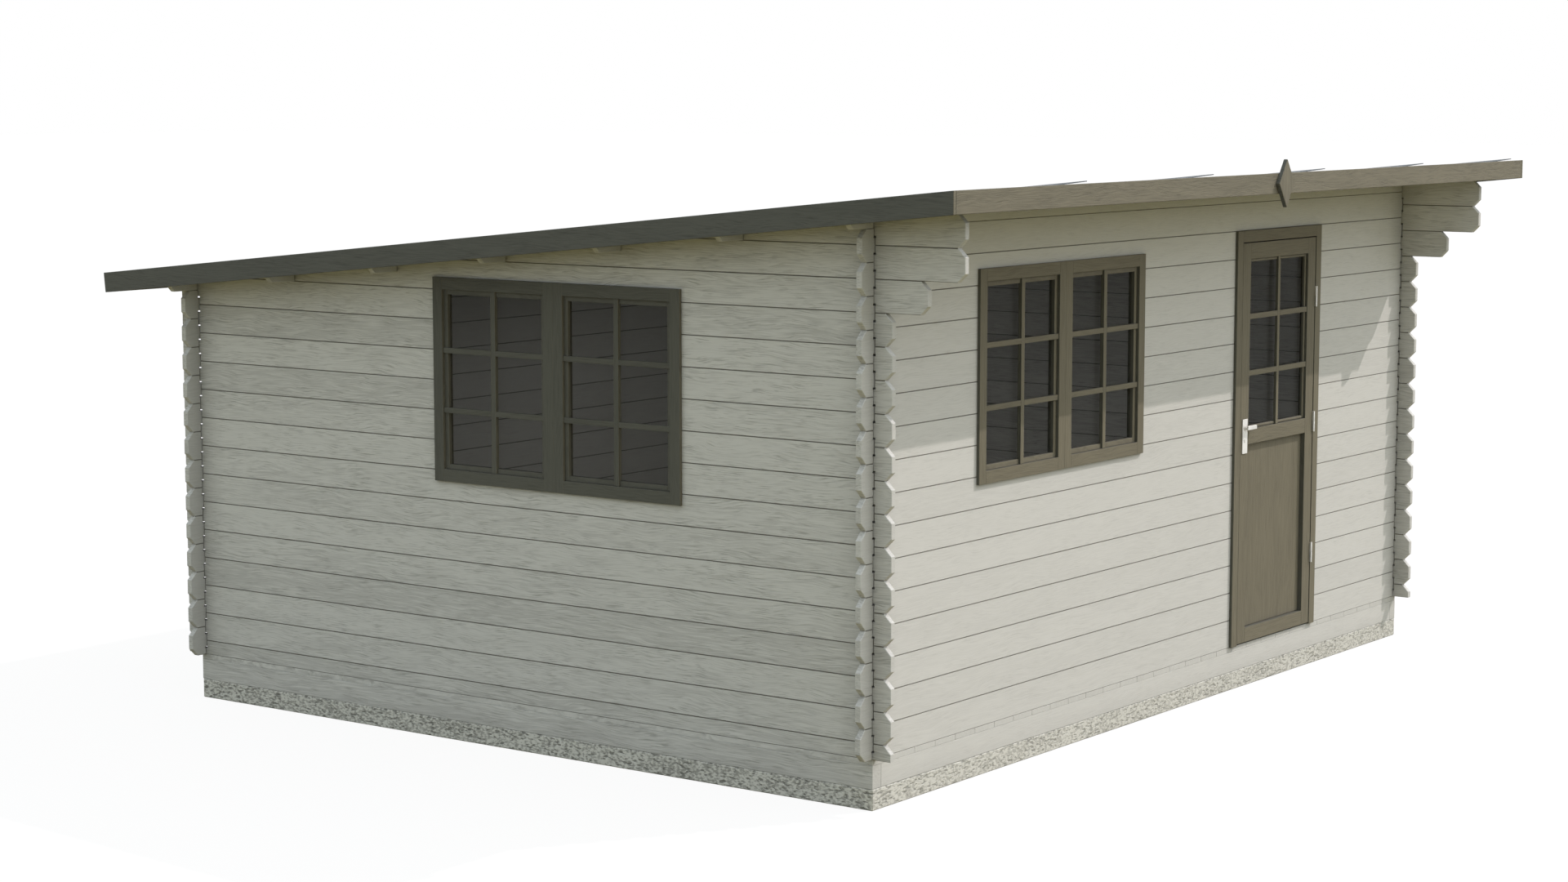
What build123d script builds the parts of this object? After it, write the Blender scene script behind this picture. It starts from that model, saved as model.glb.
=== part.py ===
from build123d import *
import math
import os

# Walls of horizontal logs, measured over the outer log faces
wall_width = 4940.0
wall_depth = 3920.0
log_height = 135.0
log_thick = 28.0
seat_gap = 0.4
front_courses = 16
back_courses = 13
side_courses = 17

# Log ends past the crossing wall
end_reach = 88.0
end_bevel = 35.0
corbel_long = 430.0
corbel_mid = 257.0

# Corner notches, with a relief pocket at the foot of each notch
notch_play = 5.0
relief_play = 8.0
relief_height = 9.0

# Base
slab_height = 90.0
sill_height = 123.0
sill_width = 62.0
joist_count = 5
joist_width = 60.0
joist_play = 2.0
floor_thick = 24.0

# Roof
roof_pitch = 5.85
purlin_count = 7
purlin_step = log_height / 2
purlin_height = 90.0
purlin_bevel = 60.0
deck_thick = 20.0
front_overhang = 522.0
back_overhang = 378.0
left_overhang = 228.0
right_overhang = 311.0
fascia_thick = 18.0
fascia_height = 94.0
felt_thick = 4.0
felt_strip_width = 1085.0
felt_first_edge = 800.0
felt_lap = 90.0
felt_ramp = 300.0
felt_lift = 12.0
diamond_height = 220.0
diamond_width = 150.0
diamond_thick = 20.0

# Frames around the window and door openings
trim_border = 55.0
trim_thick = 14.0
trim_overlap = 28.0
inner_trim_thick = 15.0
lining_play = 2.0
window_width = 1397.0
window_height = 914.0
mullion_width = 107.0
sash_border = 22.0
sash_depth = 28.0
sash_recess = 14.0
glass_thick = 6.0
glass_recess = 14.0
front_window_left = 767.0
front_window_head = 1960.0
side_window_front = 978.0
side_window_head = 1878.0

# Door
door_left = 3057.0
door_leaf_width = 769.0
door_gap = 5.0
leaf_thick = 40.0
leaf_recess = 2.0
stop_width = 14.0
threshold_height = 3.0
threshold_setback = 12.0
leaf_stile = 80.0
leaf_top_rail = 78.0
leaf_bottom_rail = 71.0
leaf_mid_rail = 74.0
leaf_panel_height = 906.0
panel_thick = 14.0
panel_recess = 22.0
door_glass_recess = 28.0

# Hinges on the right edge of the door
hinge_heights = (370.0, 1037.0, 1668.0)
hinge_length = 102.0
knuckle_radius = 4.5
hinge_plate_thick = 1.6
hinge_seat = 0.3
hinge_clear = 1.0
hinge_plate_depth = 30.0

# Handle with a long plate on each face of the leaf
handle_height = 1070.0
handle_inset = 40.0
plate_height = 168.0
plate_width = 50.0
plate_thick = 4.0
plate_below_lever = 126.0
lever_length = 80.0
lever_height = 20.0
lever_thick = 10.0
lever_reach = 22.0
spindle_radius = 6.0
spindle_play = 1.0

# Places that follow from the sizes above
overrun = 10.0
ground_to_logs = slab_height + sill_height
half_width = wall_width / 2
half_depth = wall_depth / 2
roof_slope = math.tan(math.radians(roof_pitch))
front_top = ground_to_logs + front_courses * log_height
back_top = ground_to_logs + back_courses * log_height
deck_under_front = front_top + purlin_height
notch_depth = log_height / 4 + relief_height / 2
purlin_spacing = (wall_depth - log_thick) / (purlin_count - 1)
roof_front = -half_depth - front_overhang
roof_back = half_depth + back_overhang
roof_left = -half_width - left_overhang
roof_right = half_width + right_overhang
roof_middle = (roof_left + roof_right) / 2
deck_left = roof_left + fascia_thick + seat_gap
deck_right = roof_right - fascia_thick - seat_gap
fascia_rise = deck_thick + felt_thick + seat_gap
roof_direction = (0, 1, -roof_slope)
window_open_width = window_width - 2 * trim_overlap
window_open_height = window_height - 2 * trim_overlap
front_window_x = front_window_left + window_width / 2 - half_width
front_window_z = ground_to_logs + front_window_head - window_height / 2
side_window_y = side_window_front + window_width / 2 - half_depth
side_window_z = ground_to_logs + side_window_head - window_height / 2
door_width = door_leaf_width + 2 * door_gap + 2 * trim_border
door_x = door_left + door_width / 2 - half_width
door_top_course = front_courses - 1
door_height = door_top_course * log_height
door_open_width = door_width - 2 * trim_overlap
leaf_bottom = ground_to_logs + seat_gap + threshold_height + door_gap
leaf_top = ground_to_logs + door_height - trim_border - door_gap
leaf_height = leaf_top - leaf_bottom
leaf_front = -half_depth - trim_thick + leaf_recess
hinge_x = door_x + door_leaf_width / 2 + door_gap / 2
hinge_y = -half_depth - trim_thick - hinge_clear - knuckle_radius
lever_x = door_x - door_leaf_width / 2 + handle_inset
lever_z = ground_to_logs + handle_height
sash_open_width = (window_width - 2 * trim_border - mullion_width) / 2
sash_open_height = window_height - 2 * trim_border
os.makedirs("parts", exist_ok=True)


def save(builder, name):
    """Name a finished piece and write it as its own file."""
    builder.part.label = name
    export_step(builder.part, f"parts/{name}.step")


def deck_under(y):
    """Height of the underside of the sloping deck at depth y."""
    return deck_under_front - (y + half_depth) * roof_slope


def bar(low_x, high_x, low_z, high_z, mode=Mode.ADD):
    """A rectangle given by its edges, in the plane of the sketch."""
    with Locations(((low_x + high_x) / 2, (low_z + high_z) / 2)):
        Rectangle(high_x - low_x, high_z - low_z, mode=mode)


def log_outline(start, end):
    """Side view of one log about its middle height, with its four corners bevelled."""
    high = (log_height - seat_gap) / 2
    Polygon(
        (start, end_bevel - high),
        (start + end_bevel, -high),
        (end - end_bevel, -high),
        (end, end_bevel - high),
        (end, high - end_bevel),
        (end - end_bevel, high),
        (start + end_bevel, high),
        (start, high - end_bevel),
        align=None,
    )


def notches(centers, joints):
    """Cross notches cut into the logs that meet at each joint, with relief pockets at their ends."""
    with Locations(*[(center, joint) for center in centers for joint in joints]):
        Rectangle(log_thick + 2 * notch_play, 2 * notch_depth, mode=Mode.SUBTRACT)
    floor = notch_depth - relief_height / 2
    pockets = [joint + side * floor for joint in joints for side in (-1, 1)]
    with Locations(*[(center, pocket) for center in centers for pocket in pockets]):
        Rectangle(log_thick + 2 * relief_play, relief_height, mode=Mode.SUBTRACT)


def long_wall_logs(first, last):
    """Logs of the front or back wall, from one course up to another, with their corner notches."""
    with Locations(*[(0, ground_to_logs + (course + 1 / 2) * log_height) for course in range(first, last)]):
        log_outline(-half_width - end_reach, half_width + end_reach)
    crossing = half_width - log_thick / 2
    notches((-crossing, crossing), [ground_to_logs + joint * log_height for joint in range(first, last + 1)])


def side_log_start(course):
    """Front end of a side wall log: the three under the front eave reach further out."""
    if course >= side_courses - 2:
        return -half_depth - corbel_long
    if course == side_courses - 3:
        return -half_depth - corbel_mid
    return -half_depth - end_reach


def side_wall_logs(first, last):
    """Logs of a side wall, half a course lower than the front, under the slope of the roof."""
    for start in sorted({side_log_start(course) for course in range(first, last)}):
        courses = [course for course in range(first, last) if side_log_start(course) == start]
        with Locations(*[(0, ground_to_logs + course * log_height) for course in courses]):
            log_outline(start, half_depth + end_reach)
    crossing = half_depth - log_thick / 2
    joints = [ground_to_logs + (joint - 1 / 2) * log_height for joint in range(first, last + 1)]
    notches((-crossing, crossing), joints)
    slot_height = purlin_height + notch_depth
    slots = [
        (crossing - index * purlin_spacing,
         back_top + index * purlin_step + notch_depth - relief_height + slot_height / 2)
        for index in range(purlin_count)
    ]
    with Locations(*slots):
        Rectangle(log_thick + 2 * notch_play, slot_height, mode=Mode.SUBTRACT)
    reach = front_overhang + wall_depth
    Polygon(
        (-reach, ground_to_logs + seat_gap),
        (reach, ground_to_logs + seat_gap),
        (reach, deck_under(reach) - seat_gap),
        (-reach, deck_under(-reach) - seat_gap),
        align=None,
        mode=Mode.INTERSECT,
    )


# Concrete slab, as wide as the walls
with BuildPart() as foundation_slab:
    with BuildSketch():
        Rectangle(wall_width, wall_depth)
    extrude(amount=slab_height)
save(foundation_slab, "foundation_slab")

# Timber sill beams: the sides run through, the front and back butt between them
with BuildPart() as sill_beams:
    with BuildSketch(Plane.XY.offset(slab_height + seat_gap)):
        for side in (-1, 1):
            with Locations((side * (half_width - sill_width / 2), 0)):
                Rectangle(sill_width, wall_depth)
            with Locations((0, side * (half_depth - sill_width / 2))):
                Rectangle(wall_width - 2 * sill_width - 2 * seat_gap, sill_width)
    extrude(amount=sill_height - floor_thick - 2 * seat_gap)
save(sill_beams, "sill_beams")

# Floor joists on the slab, between the front and back sills
with BuildPart() as floor_joists:
    joist_span = wall_width - 2 * sill_width - 2 * joist_play - joist_width
    with BuildSketch(Plane.XY.offset(slab_height + seat_gap)):
        with GridLocations(joist_span / (joist_count - 1), 0, joist_count, 1):
            Rectangle(joist_width, wall_depth - 2 * sill_width - 2 * joist_play)
    extrude(amount=sill_height - floor_thick - 2 * seat_gap)
save(floor_joists, "floor_joists")

# Floor boards over the sills and joists, flush with the outer log faces
with BuildPart() as floor_boards:
    with BuildSketch(Plane.XY.offset(ground_to_logs - floor_thick)):
        Rectangle(wall_width, wall_depth)
    extrude(amount=floor_thick)
save(floor_boards, "floor_boards")

# Front wall, split around the window and the door
front_plane = Plane.XZ.offset(half_depth - log_thick)
window_low = front_window_z - window_open_height / 2
window_high = front_window_z + window_open_height / 2
window_start = front_window_x - window_open_width / 2
window_end = front_window_x + window_open_width / 2
door_start = door_x - door_open_width / 2
door_end = door_x + door_open_width / 2
door_head = ground_to_logs + door_height
wall_end = half_width + end_reach
below_window = math.ceil((window_low - ground_to_logs) / log_height)
above_window = math.ceil((window_high - ground_to_logs) / log_height) - 1

with BuildPart() as front_logs_low:
    with BuildSketch(front_plane):
        long_wall_logs(0, below_window)
        bar(-wall_end - overrun, door_start, ground_to_logs, front_top, Mode.INTERSECT)
        bar(window_start, window_end, window_low, window_high, Mode.SUBTRACT)
    extrude(amount=log_thick)
save(front_logs_low, "front_logs_low")

for name, start, end in (
    ("front_logs_window_left", -wall_end - overrun, window_start),
    ("front_logs_window_right", window_end, door_start),
):
    with BuildPart() as front_logs_beside_window:
        with BuildSketch(front_plane):
            long_wall_logs(below_window, above_window)
            bar(start, end, ground_to_logs, door_head, Mode.INTERSECT)
        extrude(amount=log_thick)
    save(front_logs_beside_window, name)

with BuildPart() as front_logs_door_right:
    with BuildSketch(front_plane):
        long_wall_logs(0, door_top_course)
        bar(door_end, wall_end + overrun, ground_to_logs, door_head, Mode.INTERSECT)
    extrude(amount=log_thick)
save(front_logs_door_right, "front_logs_door_right")

with BuildPart() as front_logs_top:
    with BuildSketch(front_plane):
        long_wall_logs(above_window, front_courses)
        bar(window_start, window_end, window_low, window_high, Mode.SUBTRACT)
        bar(door_start, wall_end + overrun, ground_to_logs, door_head, Mode.SUBTRACT)
    extrude(amount=log_thick)
save(front_logs_top, "front_logs_top")

# Back wall, plain
with BuildPart() as back_logs:
    with BuildSketch(Plane.XZ.offset(-half_depth)):
        long_wall_logs(0, back_courses)
    extrude(amount=log_thick)
save(back_logs, "back_logs")

# Left wall, split around its window
left_plane = Plane.YZ.offset(-half_width)
side_open_low = side_window_z - window_open_height / 2
side_open_high = side_window_z + window_open_height / 2
side_open_front = side_window_y - window_open_width / 2
side_open_back = side_window_y + window_open_width / 2
side_below = math.ceil((side_open_low - ground_to_logs) / log_height + 1 / 2)
side_above = math.floor((side_open_high - ground_to_logs) / log_height + 1 / 2)
side_reach = wall_depth + corbel_long

for name, first, last in (("left_logs_low", 0, side_below), ("left_logs_top", side_above, side_courses)):
    with BuildPart() as left_logs:
        with BuildSketch(left_plane):
            side_wall_logs(first, last)
            bar(side_open_front, side_open_back, side_open_low, side_open_high, Mode.SUBTRACT)
        extrude(amount=log_thick)
    save(left_logs, name)

for name, start, end in (
    ("left_logs_window_front", -side_reach, side_open_front),
    ("left_logs_window_back", side_open_back, side_reach),
):
    with BuildPart() as left_logs_beside_window:
        with BuildSketch(left_plane):
            side_wall_logs(side_below, side_above)
            bar(start, end, ground_to_logs, front_top, Mode.INTERSECT)
        extrude(amount=log_thick)
    save(left_logs_beside_window, name)

# Right wall, plain
with BuildPart() as right_logs:
    with BuildSketch(Plane.YZ.offset(half_width - log_thick)):
        side_wall_logs(0, side_courses)
    extrude(amount=log_thick)
save(right_logs, "right_logs")

# Purlins: one on each long wall and the rest between, each half a course above the one behind it
with BuildPart() as roof_purlins:
    for index in range(purlin_count):
        back_face = half_depth - index * purlin_spacing
        low = back_top + index * purlin_step + seat_gap / 2
        with BuildSketch(Plane.XZ.offset(-back_face)):
            with BuildLine():
                Polyline(
                    (deck_left, low + purlin_bevel),
                    (deck_left + purlin_bevel, low),
                    (deck_right - purlin_bevel, low),
                    (deck_right, low + purlin_bevel),
                    (deck_right, low + 2 * purlin_height),
                    (deck_left, low + 2 * purlin_height),
                    close=True,
                )
            make_face()
            for center in (-half_width + log_thick / 2, half_width - log_thick / 2):
                bar(center - log_thick / 2 - notch_play, center + log_thick / 2 + notch_play,
                    low - overrun, low + notch_depth, Mode.SUBTRACT)
        extrude(amount=log_thick)
    with BuildSketch(Plane.YZ.offset(roof_left)):
        with BuildLine():
            Polyline(
                (roof_front, deck_under(roof_front) - seat_gap),
                (roof_back, deck_under(roof_back) - seat_gap),
                (roof_back, deck_under_front + wall_depth),
                (roof_front, deck_under_front + wall_depth),
                close=True,
            )
        make_face()
    extrude(amount=roof_right - roof_left, mode=Mode.SUBTRACT)
save(roof_purlins, "roof_purlins")


def roof_band(start, end, low, high):
    """Section of a board laid along the slope: heights are measured from the underside of the deck."""
    Polygon(
        (start, deck_under(start) + low),
        (end, deck_under(end) + low),
        (end, deck_under(end) + high),
        (start, deck_under(start) + high),
        align=None,
    )


# Sloping deck between the fascias
deck_front = roof_front + fascia_thick + seat_gap
deck_back = roof_back - fascia_thick - fascia_rise * roof_slope - seat_gap
with BuildPart() as roof_deck:
    with BuildSketch(Plane.YZ.offset(deck_left)):
        roof_band(deck_front, deck_back, 0, deck_thick)
    extrude(amount=deck_right - deck_left)
save(roof_deck, "roof_deck")

# Felt strips from front to back between the fascias, each with its right edge lifted over the next strip
with BuildPart() as roof_felt:
    felt_low = deck_under(deck_front) + deck_thick + seat_gap
    felt_count = math.ceil((half_width + deck_right - felt_first_edge) / felt_strip_width) + 1
    for index in range(felt_count):
        lip = felt_first_edge - half_width + index * felt_strip_width
        start = lip - felt_strip_width - felt_lap
        with BuildSketch(Plane.XZ.offset(-deck_front)):
            with BuildLine():
                Polyline(
                    (start, felt_low),
                    (lip - felt_ramp, felt_low),
                    (lip, felt_low + felt_lift),
                    (lip, felt_low + felt_lift + felt_thick),
                    (lip - felt_ramp, felt_low + felt_thick),
                    (start, felt_low + felt_thick),
                    close=True,
                )
            make_face()
            bar(deck_left, deck_right, felt_low, felt_low + felt_lift + felt_thick, Mode.INTERSECT)
        extrude(amount=(deck_back - deck_front) / math.cos(math.radians(roof_pitch)), dir=roof_direction)
save(roof_felt, "roof_felt")

# Side fascias run through, with the back end cut square to the slope
fascia_top = deck_under(roof_back) + fascia_rise
fascia_back_y = roof_back - fascia_height * math.sin(math.radians(roof_pitch))
fascia_back_z = fascia_top - fascia_height * math.cos(math.radians(roof_pitch))
fascia_front_z = fascia_back_z + (fascia_back_y - roof_front) * roof_slope
for name, inner_x in (("left_fascia", roof_left), ("right_fascia", roof_right - fascia_thick)):
    with BuildPart() as side_fascia:
        with BuildSketch(Plane.YZ.offset(inner_x)):
            with BuildLine():
                Polyline(
                    (roof_front, deck_under(roof_front) + fascia_rise),
                    (roof_front, fascia_front_z),
                    (fascia_back_y, fascia_back_z),
                    (roof_back, fascia_top),
                    close=True,
                )
            make_face()
        extrude(amount=fascia_thick)
    save(side_fascia, name)

# Back fascia between the side ones
with BuildPart() as back_fascia:
    shift_y = fascia_thick * math.cos(math.radians(roof_pitch))
    shift_z = fascia_thick * math.sin(math.radians(roof_pitch))
    with BuildSketch(Plane.YZ.offset(deck_left)):
        with BuildLine():
            Polyline(
                (roof_back, fascia_top),
                (fascia_back_y, fascia_back_z),
                (fascia_back_y - shift_y, fascia_back_z + shift_z),
                (roof_back - shift_y, fascia_top + shift_z),
                close=True,
            )
        make_face()
    extrude(amount=deck_right - deck_left)
save(back_fascia, "back_fascia")

# Front fascia in two boards that meet behind the diamond plate
front_fascia_top = deck_under(roof_front) + fascia_rise
for name, start in (("front_fascia_left", deck_left), ("front_fascia_right", roof_middle + seat_gap / 2)):
    with BuildPart() as front_fascia:
        with BuildSketch(Plane.YZ.offset(start)):
            with BuildLine():
                Polyline(
                    (roof_front, front_fascia_top),
                    (roof_front + fascia_thick, front_fascia_top - fascia_thick * roof_slope),
                    (roof_front + fascia_thick, front_fascia_top - fascia_height),
                    (roof_front, front_fascia_top - fascia_height),
                    close=True,
                )
            make_face()
        extrude(amount=roof_middle - deck_left - seat_gap / 2)
    save(front_fascia, name)

# Diamond plate on the joint of the front fascia
with BuildPart() as fascia_diamond:
    diamond_z = front_fascia_top - fascia_height / 2
    with BuildSketch(Plane.XZ.offset(-roof_front + seat_gap)):
        with BuildLine():
            Polyline(
                (roof_middle - diamond_width / 2, diamond_z),
                (roof_middle, diamond_z - diamond_height / 2),
                (roof_middle + diamond_width / 2, diamond_z),
                (roof_middle, diamond_z + diamond_height / 2),
                close=True,
            )
        make_face()
    extrude(amount=diamond_thick)
save(fascia_diamond, "fascia_diamond")


def window(name, face):
    """A fixed double window on the outer face of a wall: frame, inner trim, two sashes and their panes."""
    lights = (sash_open_width + mullion_width, 0, 2, 1)
    lining_depth = log_thick + inner_trim_thick
    lining_width = window_open_width - 2 * lining_play
    lining_height = window_open_height - 2 * lining_play
    with BuildPart() as frame:
        with BuildSketch(face.offset(seat_gap)):
            Rectangle(window_width, window_height)
            with GridLocations(*lights):
                Rectangle(sash_open_width, sash_open_height, mode=Mode.SUBTRACT)
        extrude(amount=trim_thick - seat_gap)
        with BuildSketch(face.offset(-lining_depth)):
            Rectangle(lining_width, lining_height)
            with GridLocations(*lights):
                Rectangle(sash_open_width, sash_open_height, mode=Mode.SUBTRACT)
        extrude(amount=lining_depth + seat_gap)
    save(frame, f"{name}_frame")

    with BuildPart() as inner_trim:
        with BuildSketch(face.offset(-lining_depth)):
            Rectangle(window_width, window_height)
            Rectangle(lining_width + 2 * seat_gap, lining_height + 2 * seat_gap, mode=Mode.SUBTRACT)
        extrude(amount=inner_trim_thick - seat_gap)
    save(inner_trim, f"{name}_inner_trim")

    with BuildPart() as sashes:
        with BuildSketch(face.offset(trim_thick - sash_recess - sash_depth)):
            with GridLocations(*lights):
                Rectangle(sash_open_width - 2 * seat_gap, sash_open_height - 2 * seat_gap)
                Rectangle(sash_open_width - 2 * sash_border, sash_open_height - 2 * sash_border,
                          mode=Mode.SUBTRACT)
        extrude(amount=sash_depth)
    save(sashes, f"{name}_sashes")

    with BuildPart() as glass:
        pane_inset = 2 * (sash_border + seat_gap)
        with BuildSketch(face.offset(trim_thick - sash_recess - glass_recess - glass_thick)):
            with GridLocations(*lights):
                Rectangle(sash_open_width - pane_inset, sash_open_height - pane_inset)
        extrude(amount=glass_thick)
    save(glass, f"{name}_glass")


window("front_window", Plane((front_window_x, -half_depth, front_window_z), (1, 0, 0), (0, -1, 0)))
window("side_window", Plane((-half_width, side_window_y, side_window_z), (0, -1, 0), (-1, 0, 0)))

# Door frame: outer trim, lining through the wall and a stop behind the leaf
door_face = Plane.XZ.offset(half_depth)
frame_inner = door_leaf_width / 2 + door_gap
frame_head = door_head - trim_border
lining_half = door_open_width / 2 - lining_play
door_base = ground_to_logs + seat_gap
lining_depth = log_thick + inner_trim_thick
stop_face = trim_thick - leaf_recess - leaf_thick - door_gap
with BuildPart() as door_frame:
    with BuildSketch(door_face.offset(seat_gap)):
        bar(door_x - door_width / 2, door_x + door_width / 2, door_base, door_head)
        bar(door_x - frame_inner, door_x + frame_inner, door_base, frame_head, Mode.SUBTRACT)
    extrude(amount=trim_thick - seat_gap)
    with BuildSketch(door_face.offset(-lining_depth)):
        bar(door_x - lining_half, door_x + lining_half, door_base, door_head - lining_play)
        bar(door_x - frame_inner, door_x + frame_inner, door_base, frame_head, Mode.SUBTRACT)
    extrude(amount=lining_depth + seat_gap)
    with BuildSketch(door_face.offset(-lining_depth)):
        bar(door_x - frame_inner, door_x + frame_inner, door_base, frame_head)
        bar(door_x - frame_inner + stop_width, door_x + frame_inner - stop_width,
            door_base, frame_head - stop_width, Mode.SUBTRACT)
    extrude(amount=lining_depth + stop_face)
save(door_frame, "door_frame")

# Inner trim around the door
with BuildPart() as door_inner_trim:
    with BuildSketch(door_face.offset(-lining_depth)):
        bar(door_x - door_width / 2, door_x + door_width / 2, door_base, door_head)
        bar(door_x - lining_half - seat_gap, door_x + lining_half + seat_gap,
            door_base, door_head - lining_play + seat_gap, Mode.SUBTRACT)
    extrude(amount=inner_trim_thick - seat_gap)
save(door_inner_trim, "door_inner_trim")

# Threshold on the floor boards, between the jambs and under the leaf
with BuildPart() as door_threshold:
    with BuildSketch(Plane.XY.offset(door_base)):
        bar(door_x - frame_inner + stop_width + seat_gap, door_x + frame_inner - stop_width - seat_gap,
            -half_depth + threshold_setback, -half_depth + lining_depth)
    extrude(amount=threshold_height)
save(door_threshold, "door_threshold")

# Door leaf: stiles and rails around the glass above and the panel below
leaf_plane = door_face.offset(trim_thick - leaf_recess - leaf_thick)
leaf_left = door_x - door_leaf_width / 2
leaf_right = door_x + door_leaf_width / 2
panel_low = leaf_bottom + leaf_bottom_rail
panel_high = panel_low + leaf_panel_height
glass_low = panel_high + leaf_mid_rail
glass_high = leaf_top - leaf_top_rail
with BuildPart() as door_leaf:
    with BuildSketch(leaf_plane):
        bar(leaf_left, leaf_right, leaf_bottom, leaf_top)
        bar(leaf_left + leaf_stile, leaf_right - leaf_stile, panel_low, panel_high, Mode.SUBTRACT)
        bar(leaf_left + leaf_stile, leaf_right - leaf_stile, glass_low, glass_high, Mode.SUBTRACT)
        with Locations((lever_x, lever_z)):
            Circle(spindle_radius + spindle_play, mode=Mode.SUBTRACT)
    extrude(amount=leaf_thick)
save(door_leaf, "door_leaf")

# Recessed lower panel
with BuildPart() as door_panel:
    with BuildSketch(leaf_plane.offset(leaf_thick - panel_recess - panel_thick)):
        bar(leaf_left + leaf_stile + seat_gap, leaf_right - leaf_stile - seat_gap,
            panel_low + seat_gap, panel_high - seat_gap)
    extrude(amount=panel_thick)
save(door_panel, "door_panel")

# Upper glass
with BuildPart() as door_glass:
    with BuildSketch(leaf_plane.offset(leaf_thick - door_glass_recess - glass_thick)):
        bar(leaf_left + leaf_stile + seat_gap, leaf_right - leaf_stile - seat_gap,
            glass_low + seat_gap, glass_high - seat_gap)
    extrude(amount=glass_thick)
save(door_glass, "door_glass")

# Hinges: the lower knuckle is on the frame and the upper one on the leaf
plate_back = leaf_front + hinge_plate_depth
for name, rise, plate_x in (
    ("frame_hinges", -hinge_length / 2, leaf_right + door_gap - hinge_seat - hinge_plate_thick),
    ("leaf_hinges", seat_gap, leaf_right + hinge_seat),
):
    with BuildPart() as hinges:
        for height in hinge_heights:
            with BuildSketch(Plane.XY.offset(ground_to_logs + height + rise)):
                with Locations((hinge_x, hinge_y)):
                    Circle(knuckle_radius)
                bar(plate_x, plate_x + hinge_plate_thick, hinge_y, plate_back)
            extrude(amount=hinge_length / 2 - seat_gap)
    save(hinges, name)

# Handle plates on both faces of the leaf
with BuildPart() as handle_plates:
    for face in (leaf_plane.offset(leaf_thick + seat_gap), leaf_plane.offset(-seat_gap - plate_thick)):
        with BuildSketch(face):
            bar(lever_x - plate_width / 2, lever_x + plate_width / 2,
                lever_z - plate_below_lever, lever_z - plate_below_lever + plate_height)
            with Locations((lever_x, lever_z)):
                Circle(spindle_radius + spindle_play, mode=Mode.SUBTRACT)
        extrude(amount=plate_thick)
save(handle_plates, "handle_plates")

# Flat levers inside and outside on one spindle
with BuildPart() as door_lever:
    spindle_half = leaf_thick / 2 + lever_reach
    with BuildSketch(leaf_plane.offset(leaf_thick / 2 - spindle_half)):
        with Locations((lever_x, lever_z)):
            Circle(spindle_radius)
    extrude(amount=2 * spindle_half)
    for center in (leaf_front - lever_reach, leaf_front + leaf_thick + lever_reach):
        with BuildSketch(Plane.YZ.offset(lever_x - lever_height / 2)):
            with Locations((center, lever_z)):
                Rectangle(lever_thick, lever_height)
        extrude(amount=lever_length + lever_height / 2)
save(door_lever, "door_lever")
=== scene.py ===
import bmesh
import bpy
import math
import random
from mathutils import Matrix, Vector


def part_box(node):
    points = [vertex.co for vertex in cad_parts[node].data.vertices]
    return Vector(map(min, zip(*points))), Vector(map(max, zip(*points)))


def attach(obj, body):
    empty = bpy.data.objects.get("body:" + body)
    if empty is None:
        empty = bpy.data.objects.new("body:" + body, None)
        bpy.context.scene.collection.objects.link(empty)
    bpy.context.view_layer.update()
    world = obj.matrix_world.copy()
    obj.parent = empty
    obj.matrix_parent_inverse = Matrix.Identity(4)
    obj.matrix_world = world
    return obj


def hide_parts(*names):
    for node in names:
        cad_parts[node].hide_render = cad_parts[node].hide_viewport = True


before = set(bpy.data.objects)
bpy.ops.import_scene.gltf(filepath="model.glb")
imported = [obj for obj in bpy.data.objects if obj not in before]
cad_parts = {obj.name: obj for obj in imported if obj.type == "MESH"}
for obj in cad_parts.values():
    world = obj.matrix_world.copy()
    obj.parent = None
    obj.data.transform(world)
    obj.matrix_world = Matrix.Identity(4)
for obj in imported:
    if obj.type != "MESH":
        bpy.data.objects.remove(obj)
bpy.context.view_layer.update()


# Foundation slab
# Concrete cast on the ground between boards, as wide and as deep as the walls that stand on it.
# Its face is rough and pebbly, with small dark pits and a little wear along the arrises.
slab_arris = 0.004
slab_pale = (0.70, 0.69, 0.645, 1)
slab_grey = (0.36, 0.352, 0.325, 1)
slab_pit = (0.14, 0.14, 0.125, 1)
slab_roughness = 0.92
slab_relief = 0.003
slab_bleach = 0.35
slab_cloud_size = (0.25, 0.25, 0.10)
slab_cloud_share = 0.2
slab_grit_size = (0.017, 0.017, 0.009)
slab_grit_share = 0.8
slab_grit_height = 0.5
slab_tint_range = (0.38, 0.58)
slab_mean_tint = 0.7
slab_scratch_size = (0.032, 0.032, 0.011)
slab_pit_range = (0.54, 0.66)
slab_pit_share = 0.75
slab_pit_depth = 0.7
weld_distance = 1e-5
flat_angle = math.radians(1)
sharp_angle = math.radians(20)


class Shade:
    """A socket in a material, so that Python's operators write its maths."""

    def __init__(self, tree, socket):
        self.tree = tree
        self.socket = socket

    def node(self, kind, settings=None, sockets=None, output=0):
        """Adds a node of any kind: its settings first, then the values or links of its sockets."""
        added = self.tree.nodes.new(kind)
        for name, value in (settings or {}).items():
            setattr(added, name, value)
        for name, value in (sockets or {}).items():
            if isinstance(value, Shade):
                self.tree.links.new(value.socket, added.inputs[name])
            else:
                added.inputs[name].default_value = value
        return Shade(self.tree, added.outputs[output])

    def math(self, operation, first, second):
        return self.node("ShaderNodeMath", {"operation": operation}, {0: first, 1: second})

    def __add__(self, other):
        return self.math("ADD", self, other)

    def __radd__(self, other):
        return self.math("ADD", other, self)

    def __sub__(self, other):
        return self.math("SUBTRACT", self, other)

    def __rsub__(self, other):
        return self.math("SUBTRACT", other, self)

    def __mul__(self, other):
        return self.math("MULTIPLY", self, other)

    def __rmul__(self, other):
        return self.math("MULTIPLY", other, self)


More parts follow.
